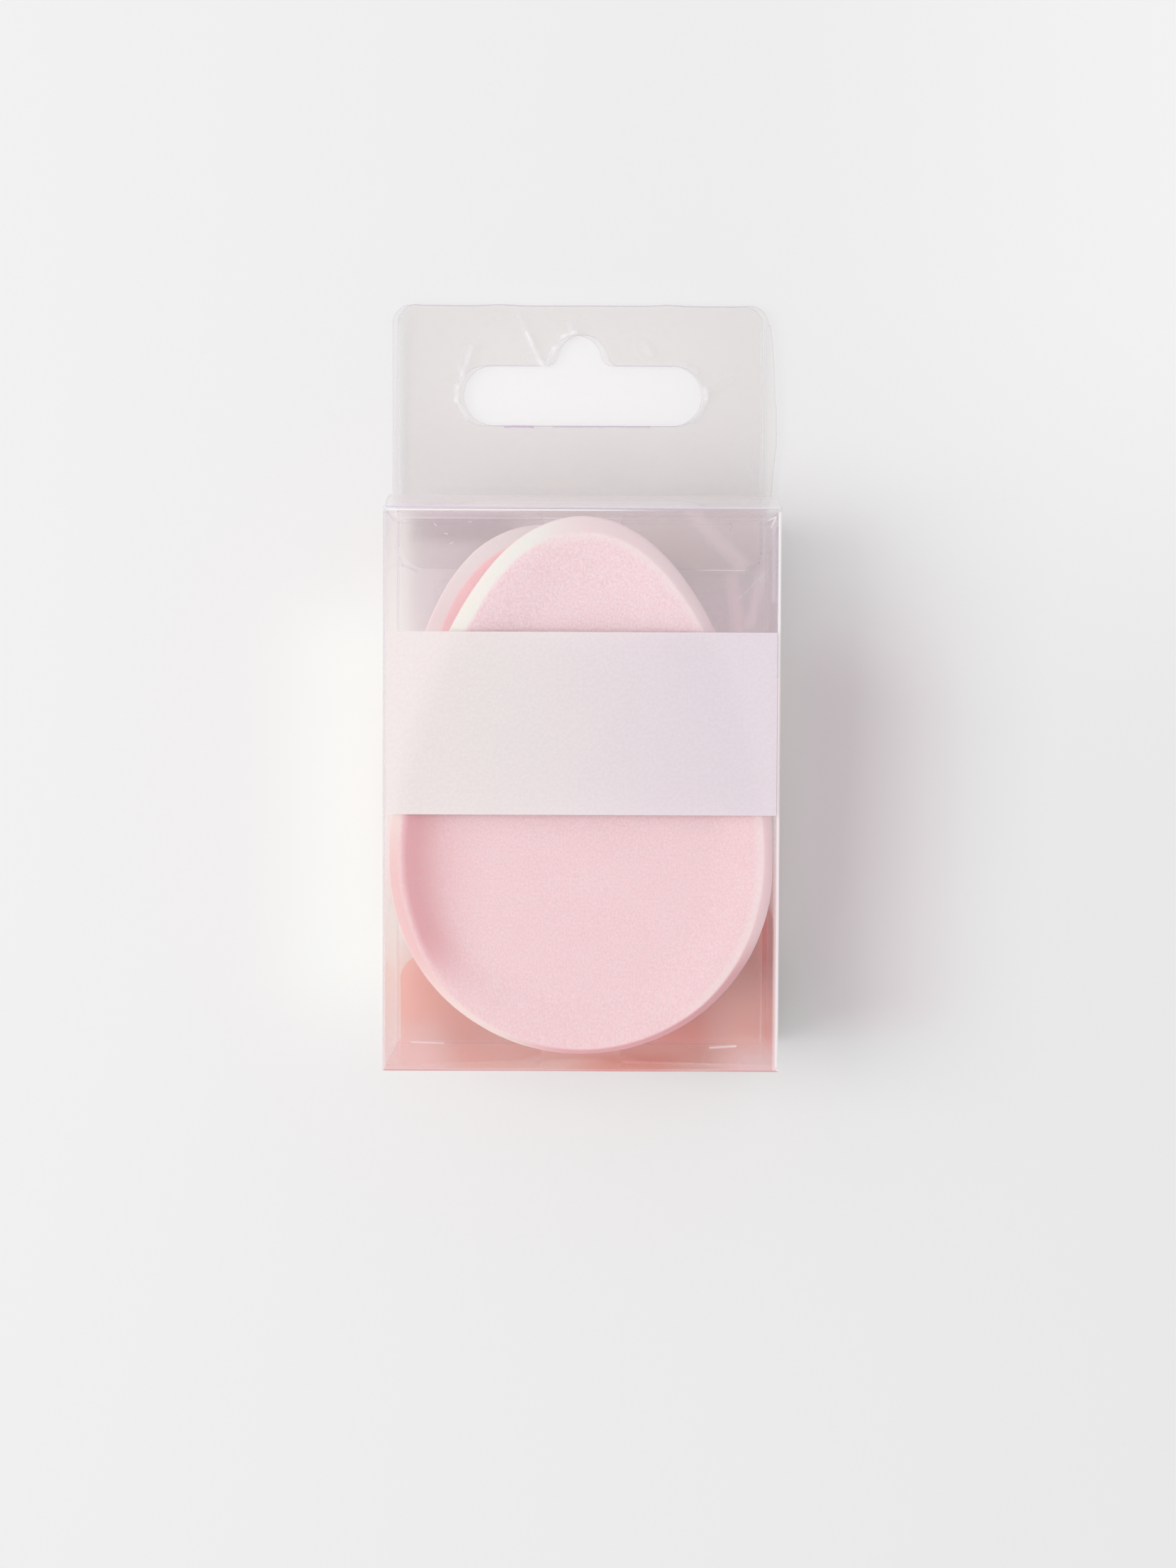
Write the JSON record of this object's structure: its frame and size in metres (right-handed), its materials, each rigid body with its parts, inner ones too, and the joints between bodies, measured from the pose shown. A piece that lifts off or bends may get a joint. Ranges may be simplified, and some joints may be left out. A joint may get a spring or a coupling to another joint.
{
  "type": "makeup sponge pack",
  "caption": "Flat egg-shaped foam makeup sponges, one behind the other, in a clear folding film carton with tuck closures and a punched hang tab.",
  "frame": {"origin": "middle of the back panel's outer face, halfway up the carton, without the hang tab", "axes": "+Z out of the front panel, +Y from the bottom closure to the hang tab, +X to the viewer's right; the pack lies on its back"},
  "size_m": [0.0518, 0.0999, 0.0251],
  "materials": {
    "clear_film": "clear glossy film, faintly lilac at its creases",
    "printed_band": "milky white print, seen through glossy film",
    "printed_patch": "thin white print on the film",
    "front_foam": "fine-pored velvety foam, pale pink",
    "rear_foam": "fine-pored velvety foam, pale pink"
  },
  "bodies": {
    "carton": {"front_panel": "clear_film", "left_side_panel": "clear_film", "right_side_panel": "clear_film", "back_panel": "clear_film", "glue_flap": "clear_film", "front_band": "printed_band", "back_patch": "printed_patch"},
    "lid": {"lid_panel": "clear_film"},
    "lid_tuck": {"lid_tuck_flap": "clear_film"},
    "top_left_dust": {"top_left_dust_flap": "clear_film"},
    "top_right_dust": {"top_right_dust_flap": "clear_film"},
    "bottom": {"bottom_panel": "clear_film"},
    "bottom_tuck": {"bottom_tuck_flap": "clear_film"},
    "bottom_left_dust": {"bottom_left_dust_flap": "clear_film"},
    "bottom_right_dust": {"bottom_right_dust_flap": "clear_film"},
    "hang_tab": {"hang_tab_rear_ply": "clear_film", "hang_tab_front_ply": "clear_film"},
    "front_sponge": {"front_sponge": "front_foam"},
    "rear_sponge": {"rear_sponge": "rear_foam"}
  },
  "joints": [
    {"name": "lid_hinge", "type": "hinge", "parent": "carton", "child": "lid", "pos_m": [0, 0.0354, 0.0248], "axis": [1, 0, 0], "range_deg": [0, 150]},
    {"name": "lid_tuck_crease", "type": "hinge", "parent": "lid", "child": "lid_tuck", "pos_m": [0, 0.0358, 0.00095], "axis": [1, 0, 0], "range_deg": [-23, 0]},
    {"name": "top_left_dust_crease", "type": "hinge", "parent": "carton", "child": "top_left_dust", "pos_m": [-0.0248, 0.0349, 0.012], "axis": [0, 0, 1], "range_deg": [0, 13]},
    {"name": "top_right_dust_crease", "type": "hinge", "parent": "carton", "child": "top_right_dust", "pos_m": [0.0248, 0.0349, 0.012], "axis": [0, 0, -1], "range_deg": [0, 13]},
    {"name": "bottom_hinge", "type": "hinge", "parent": "carton", "child": "bottom", "pos_m": [0, -0.0354, 0.0248], "axis": [-1, 0, 0], "range_deg": [0, 120]},
    {"name": "bottom_tuck_crease", "type": "hinge", "parent": "bottom", "child": "bottom_tuck", "pos_m": [0, -0.0354, 0.00095], "axis": [1, 0, 0], "range_deg": [0, 37]},
    {"name": "bottom_left_dust_crease", "type": "hinge", "parent": "carton", "child": "bottom_left_dust", "pos_m": [-0.0248, -0.0349, 0.012], "axis": [0, 0, -1], "range_deg": [0, 10]},
    {"name": "bottom_right_dust_crease", "type": "hinge", "parent": "carton", "child": "bottom_right_dust", "pos_m": [0.0248, -0.0349, 0.012], "axis": [0, 0, 1], "range_deg": [0, 10]},
    {"name": "hang_tab_fold", "type": "hinge", "parent": "carton", "child": "hang_tab", "pos_m": [0, 0.0372, 0.0002], "axis": [1, 0, 0], "range_deg": [-60, 35]},
    {"name": "front_sponge_slide", "type": "slide", "parent": "carton", "child": "front_sponge", "axis": [0, 1, 0], "range_m": [-0.0009, 0.0002]},
    {"name": "rear_sponge_slide", "type": "slide", "parent": "carton", "child": "rear_sponge", "axis": [0, 1, 0], "range_m": [-0.0006, 0.0004]}
  ],
  "couplings": [
    {"joint": "lid_tuck_crease", "follows": "lid_hinge", "ratio": -0.15},
    {"joint": "top_left_dust_crease", "follows": "lid_hinge", "ratio": 0.08},
    {"joint": "top_right_dust_crease", "follows": "lid_hinge", "ratio": 0.08},
    {"joint": "bottom_tuck_crease", "follows": "bottom_hinge", "ratio": 0.3},
    {"joint": "bottom_left_dust_crease", "follows": "bottom_hinge", "ratio": 0.08},
    {"joint": "bottom_right_dust_crease", "follows": "bottom_hinge", "ratio": 0.08}
  ]
}
